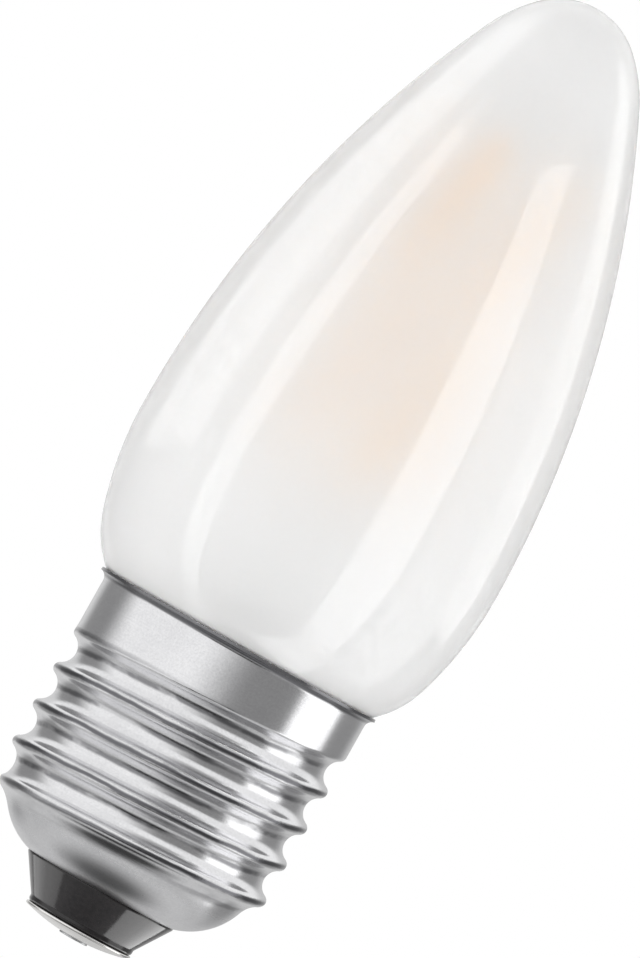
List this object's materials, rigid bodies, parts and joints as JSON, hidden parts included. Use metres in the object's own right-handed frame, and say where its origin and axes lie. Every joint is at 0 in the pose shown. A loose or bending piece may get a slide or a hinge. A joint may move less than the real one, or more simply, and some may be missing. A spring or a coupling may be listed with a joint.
{
  "type": "candle bulb",
  "caption": "Candle-shaped screw-cap lamp bulb with upright light strips inside lightly frosted glass.",
  "frame": {"origin": "middle of the flat land on the end contact", "axes": "+Z from the end contact to the glass tip, -Y towards the pictured side"},
  "size_m": [0.0351, 0.035, 0.0928],
  "materials": {
    "clear_glass": "blown soda-lime glass, glossy outside, lightly frosted inside",
    "stem_glass": "clear drawn glass",
    "cap_metal": "nickel-plated rolled sheet, slightly mottled",
    "black_glass": "black insulating glass, smooth and slightly glossy",
    "contact_metal": "pressed bright metal plate",
    "solder": "soft solder",
    "cement": "grey-cream basing cement",
    "sleeve_plastic": "white moulded plastic",
    "board": "green lacquered board",
    "package_plastic": "black moulded package with tinned leads",
    "capacitor_can": "drawn aluminium can",
    "ferrite": "dark grey ferrite",
    "copper": "enamelled copper winding",
    "resistor_body": "lacquered ceramic body",
    "wire_metal": "bare nickel wire",
    "strip_metal": "thin plated steel strip",
    "phosphor": "yellow phosphor in silicone"
  },
  "bodies": {
    "root": {"glass_envelope": "clear_glass", "glass_stem": "stem_glass", "exhaust_tube": "stem_glass", "support_rod": "stem_glass", "cap_shell": "cap_metal", "cap_insulator": "black_glass", "centre_contact": "contact_metal", "contact_solder": "solder", "basing_cement": "cement", "insulating_sleeve": "sleeve_plastic", "circuit_board": "board", "bridge_rectifier": "package_plastic", "driver_chip": "package_plastic", "smoothing_capacitor": "capacitor_can", "choke_core": "ferrite", "choke_winding": "copper", "fusible_resistor": "resistor_body", "live_wire": "wire_metal", "neutral_wire": "wire_metal", "light_strip_coat_1": "phosphor", "light_strip_metal_1": "strip_metal", "light_strip_coat_2": "phosphor", "light_strip_metal_2": "strip_metal", "light_strip_coat_3": "phosphor", "light_strip_metal_3": "strip_metal", "light_strip_coat_4": "phosphor", "light_strip_metal_4": "strip_metal", "lead_wire_1": "wire_metal", "foot_bridge_1": "wire_metal", "head_link_1": "wire_metal", "lead_wire_2": "wire_metal", "foot_bridge_2": "wire_metal", "head_link_2": "wire_metal"}
  },
  "joints": []
}
